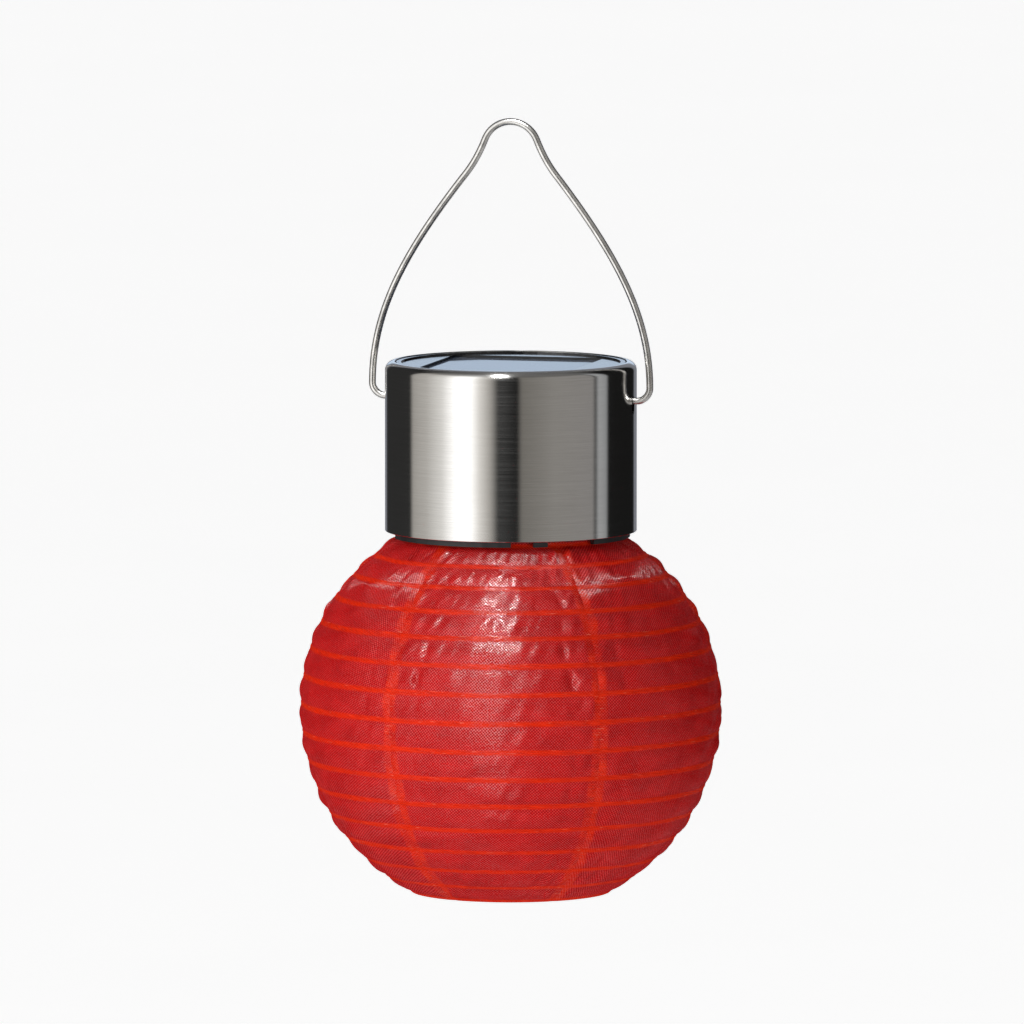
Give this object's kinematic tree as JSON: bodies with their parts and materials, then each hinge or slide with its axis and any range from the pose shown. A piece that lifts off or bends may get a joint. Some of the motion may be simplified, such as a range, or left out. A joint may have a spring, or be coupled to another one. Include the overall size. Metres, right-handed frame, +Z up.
{
  "type": "hanging solar lantern with collapsible fabric shade",
  "caption": "Drum-capped solar lantern on a wire bail; round red woven shade on wire hoops folds flat like an accordion.",
  "frame": {"origin": "where the bail rests on a hook: the underside of the wire at the bail's crown", "axes": "+Z up along the lantern's axis, +X along the bail hinge's axis, -Y to the front"},
  "size_m": [0.1098, 0.1098, 0.201],
  "materials": {
    "stainless": "finely brushed round the drum, semi-bright",
    "bail_steel": "drawn stainless wire, satin",
    "black_gloss": "glossy black moulding",
    "black_matte": "black moulding with a fine texture",
    "red_fabric": "translucent woven polyester, slightly shiny",
    "hoop_steel": "plain spring wire",
    "solar_cell": "polycrystalline silicon",
    "panel_resin": "clear cast resin over the cells",
    "circuit_board": "solder-masked laminate",
    "nickel": "nickel plated",
    "battery_sleeve": "shrink sleeve",
    "led_lens": "water-clear epoxy dome",
    "lead_red": "vinyl insulation",
    "lead_black": "vinyl insulation"
  },
  "bodies": {
    "bail": {"bail_wire": "bail_steel"},
    "cap": {"cap_shell": "stainless", "panel_tray": "black_gloss", "panel_board": "circuit_board", "panel_cover": "panel_resin", "solar_cell_1": "solar_cell", "solar_cell_2": "solar_cell", "solar_cell_3": "solar_cell", "solar_cell_4": "solar_cell", "base_housing": "black_matte", "battery_door": "black_matte", "door_screw": "nickel", "case_screw_left": "nickel", "case_screw_right": "nickel", "battery_cell": "battery_sleeve", "battery_spring": "nickel", "battery_contact": "nickel", "circuit_board": "circuit_board", "driver_chip": "black_matte", "inductor": "black_gloss", "switch_body": "nickel", "led_turret": "black_matte", "led": "led_lens", "led_lead_red": "lead_red", "led_lead_black": "lead_black", "battery_lead_red": "lead_red", "battery_lead_black": "lead_black", "panel_lead_red": "lead_red", "panel_lead_black": "lead_black"},
    "switch": {"switch_lever": "black_matte"},
    "shade_top": {"collar": "black_matte", "top_ring": "hoop_steel", "gore_1": "red_fabric", "gore_2": "red_fabric", "gore_3": "red_fabric", "gore_4": "red_fabric", "gore_5": "red_fabric", "gore_6": "red_fabric"},
    "hoop_01_body": {"hoop_01": "hoop_steel"},
    "hoop_02_body": {"hoop_02": "hoop_steel"},
    "hoop_03_body": {"hoop_03": "hoop_steel"},
    "hoop_04_body": {"hoop_04": "hoop_steel"},
    "hoop_05_body": {"hoop_05": "hoop_steel"},
    "hoop_06_body": {"hoop_06": "hoop_steel"},
    "hoop_07_body": {"hoop_07": "hoop_steel"},
    "hoop_08_body": {"hoop_08": "hoop_steel"},
    "hoop_09_body": {"hoop_09": "hoop_steel"},
    "hoop_10_body": {"hoop_10": "hoop_steel"},
    "hoop_11_body": {"hoop_11": "hoop_steel"},
    "hoop_12_body": {"hoop_12": "hoop_steel"},
    "hoop_13_body": {"hoop_13": "hoop_steel"},
    "hoop_14_body": {"hoop_14": "hoop_steel"},
    "shade_bottom": {"foot_ring": "hoop_steel", "foot_disc": "black_matte"}
  },
  "joints": [
    {"name": "bail_hinge", "type": "hinge", "parent": "bail", "child": "cap", "pos_m": [0, 0, -0.0709], "axis": [1, 0, 0], "range_deg": [-115, 115]},
    {"name": "switch_slide", "type": "slide", "parent": "cap", "child": "switch", "axis": [1, 0, 0], "range_m": [0, 0.0022]},
    {"name": "shade_twist", "type": "hinge", "parent": "cap", "child": "shade_top", "pos_m": [0, 0, -0.1052], "axis": [0, 0, 1], "range_deg": [0, 20]},
    {"name": "shade_collapse", "type": "slide", "parent": "shade_top", "child": "shade_bottom", "axis": [0, 0, 1], "range_m": [0, 0.067], "deforming": ["gore_1", "gore_2", "gore_3", "gore_4", "gore_5", "gore_6"]},
    {"name": "hoop_01_slide", "type": "slide", "parent": "shade_top", "child": "hoop_01_body", "axis": [0, 0, 1], "range_m": [0, 0.00337]},
    {"name": "hoop_02_slide", "type": "slide", "parent": "shade_top", "child": "hoop_02_body", "axis": [0, 0, 1], "range_m": [0, 0.00702]},
    {"name": "hoop_03_slide", "type": "slide", "parent": "shade_top", "child": "hoop_03_body", "axis": [0, 0, 1], "range_m": [0, 0.01119]},
    {"name": "hoop_04_slide", "type": "slide", "parent": "shade_top", "child": "hoop_04_body", "axis": [0, 0, 1], "range_m": [0, 0.0158]},
    {"name": "hoop_05_slide", "type": "slide", "parent": "shade_top", "child": "hoop_05_body", "axis": [0, 0, 1], "range_m": [0, 0.02077]},
    {"name": "hoop_06_slide", "type": "slide", "parent": "shade_top", "child": "hoop_06_body", "axis": [0, 0, 1], "range_m": [0, 0.02599]},
    {"name": "hoop_07_slide", "type": "slide", "parent": "shade_top", "child": "hoop_07_body", "axis": [0, 0, 1], "range_m": [0, 0.03135]},
    {"name": "hoop_08_slide", "type": "slide", "parent": "shade_top", "child": "hoop_08_body", "axis": [0, 0, 1], "range_m": [0, 0.03673]},
    {"name": "hoop_09_slide", "type": "slide", "parent": "shade_top", "child": "hoop_09_body", "axis": [0, 0, 1], "range_m": [0, 0.04204]},
    {"name": "hoop_10_slide", "type": "slide", "parent": "shade_top", "child": "hoop_10_body", "axis": [0, 0, 1], "range_m": [0, 0.04716]},
    {"name": "hoop_11_slide", "type": "slide", "parent": "shade_top", "child": "hoop_11_body", "axis": [0, 0, 1], "range_m": [0, 0.05201]},
    {"name": "hoop_12_slide", "type": "slide", "parent": "shade_top", "child": "hoop_12_body", "axis": [0, 0, 1], "range_m": [0, 0.05649]},
    {"name": "hoop_13_slide", "type": "slide", "parent": "shade_top", "child": "hoop_13_body", "axis": [0, 0, 1], "range_m": [0, 0.06053]},
    {"name": "hoop_14_slide", "type": "slide", "parent": "shade_top", "child": "hoop_14_body", "axis": [0, 0, 1], "range_m": [0, 0.06405]}
  ],
  "couplings": [
    {"joint": "hoop_01_slide", "follows": "shade_collapse", "ratio": 0.05023},
    {"joint": "hoop_02_slide", "follows": "shade_collapse", "ratio": 0.10465},
    {"joint": "hoop_03_slide", "follows": "shade_collapse", "ratio": 0.16682},
    {"joint": "hoop_04_slide", "follows": "shade_collapse", "ratio": 0.23565},
    {"joint": "hoop_05_slide", "follows": "shade_collapse", "ratio": 0.30981},
    {"joint": "hoop_06_slide", "follows": "shade_collapse", "ratio": 0.38773},
    {"joint": "hoop_07_slide", "follows": "shade_collapse", "ratio": 0.46773},
    {"joint": "hoop_08_slide", "follows": "shade_collapse", "ratio": 0.54811},
    {"joint": "hoop_09_slide", "follows": "shade_collapse", "ratio": 0.6273},
    {"joint": "hoop_10_slide", "follows": "shade_collapse", "ratio": 0.70376},
    {"joint": "hoop_11_slide", "follows": "shade_collapse", "ratio": 0.77612},
    {"joint": "hoop_12_slide", "follows": "shade_collapse", "ratio": 0.84306},
    {"joint": "hoop_13_slide", "follows": "shade_collapse", "ratio": 0.90333},
    {"joint": "hoop_14_slide", "follows": "shade_collapse", "ratio": 0.9558}
  ]
}
